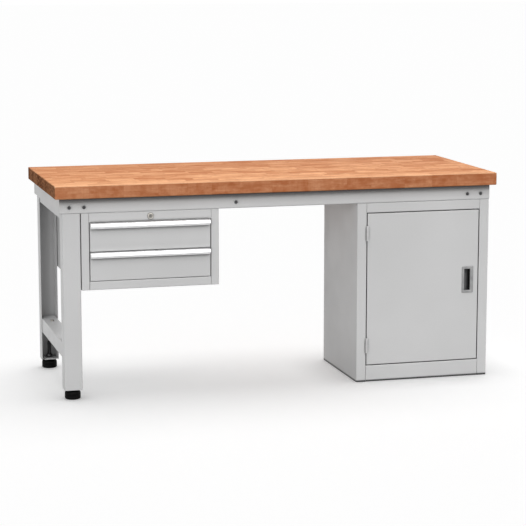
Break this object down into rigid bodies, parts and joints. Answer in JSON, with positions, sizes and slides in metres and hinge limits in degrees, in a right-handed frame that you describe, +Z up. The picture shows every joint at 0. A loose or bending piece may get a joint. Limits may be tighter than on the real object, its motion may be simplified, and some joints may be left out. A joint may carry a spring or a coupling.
{
  "type": "workbench",
  "caption": "Workbench with a thick wooden top on a steel apron ring, a leg frame with levelling feet, hanging drawers with bright grip strips and a hinged cabinet door.",
  "frame": {"origin": "on the floor, under the middle of the bench top", "axes": "+X along the bench to the cabinet end, +Y from the front to the rear, +Z up"},
  "size_m": [1.8, 0.7, 0.84],
  "materials": {
    "wood": "oiled solid wood staves",
    "paint": "light grey powder coat",
    "grip": "satin anodised",
    "zinc": "zinc plated",
    "nickel": "satin nickel",
    "black_steel": "blackened steel",
    "black_plastic": "matt moulded",
    "hinge_steel": "painted steel",
    "pull_frame": "grey moulded",
    "magnet": "moulded case"
  },
  "bodies": {
    "frame": {"bench_top": "wood", "apron_front": "paint", "apron_rear": "paint", "apron_left": "paint", "apron_right": "paint", "apron_brace": "paint", "apron_bracket_left": "paint", "apron_bracket_right": "paint", "leg_front": "paint", "leg_rear": "paint", "leg_rail_lower": "paint", "leg_rail_upper": "paint", "foot_plate_front": "paint", "foot_plate_rear": "paint", "foot_nut_front": "black_steel", "foot_nut_rear": "black_steel", "unit_side_left": "paint", "unit_side_right": "paint", "unit_back": "paint", "unit_floor": "paint", "unit_top_rail": "paint", "lock_body": "nickel", "runner_fixed_lower_left": "zinc", "runner_fixed_lower_right": "zinc", "runner_fixed_upper_left": "zinc", "runner_fixed_upper_right": "zinc", "cabinet_side_left": "paint", "cabinet_side_right": "paint", "cabinet_back": "paint", "cabinet_floor": "paint", "cabinet_top": "paint", "shelf": "paint", "shelf_rail_left": "zinc", "shelf_rail_right": "zinc", "hinge_upper_fixed": "hinge_steel", "hinge_lower_fixed": "hinge_steel", "catch_bracket": "zinc", "catch_magnet": "magnet"},
    "drawer_upper": {"drawer_upper_front": "paint", "drawer_upper_box": "paint", "drawer_upper_grip": "grip", "drawer_upper_runner_left": "zinc", "drawer_upper_runner_right": "zinc"},
    "drawer_lower": {"drawer_lower_front": "paint", "drawer_lower_box": "paint", "drawer_lower_grip": "grip", "drawer_lower_runner_left": "zinc", "drawer_lower_runner_right": "zinc"},
    "cabinet_door": {"door_pan": "paint", "door_stiffener": "paint", "hinge_upper_moving": "hinge_steel", "hinge_lower_moving": "hinge_steel", "pull_frame": "pull_frame", "pull_cup": "black_plastic"},
    "drawer_lock": {"lock_rotor": "nickel"},
    "foot_front": {"foot_pad_front": "black_plastic", "foot_stem_front": "black_steel"},
    "foot_rear": {"foot_pad_rear": "black_plastic", "foot_stem_rear": "black_steel"}
  },
  "joints": [
    {"name": "drawer_upper_slide", "type": "slide", "parent": "frame", "child": "drawer_upper", "axis": [0, -1, 0], "range_m": [0, 0.42]},
    {"name": "drawer_lower_slide", "type": "slide", "parent": "frame", "child": "drawer_lower", "axis": [0, -1, 0], "range_m": [0, 0.42]},
    {"name": "door_hinge", "type": "hinge", "parent": "frame", "child": "cabinet_door", "pos_m": [0.3595, -0.3283, 0.379], "axis": [0, 0, -1], "range_deg": [0, 170]},
    {"name": "lock_turn", "type": "hinge", "parent": "frame", "child": "drawer_lock", "pos_m": [-0.5245, -0.323, 0.7115], "axis": [0, 1, 0], "range_deg": [0, 90]},
    {"name": "foot_front_level", "type": "slide", "parent": "frame", "child": "foot_front", "axis": [0, 0, 1], "range_m": [-0.02, 0]},
    {"name": "foot_rear_level", "type": "slide", "parent": "frame", "child": "foot_rear", "axis": [0, 0, 1], "range_m": [-0.02, 0]}
  ]
}
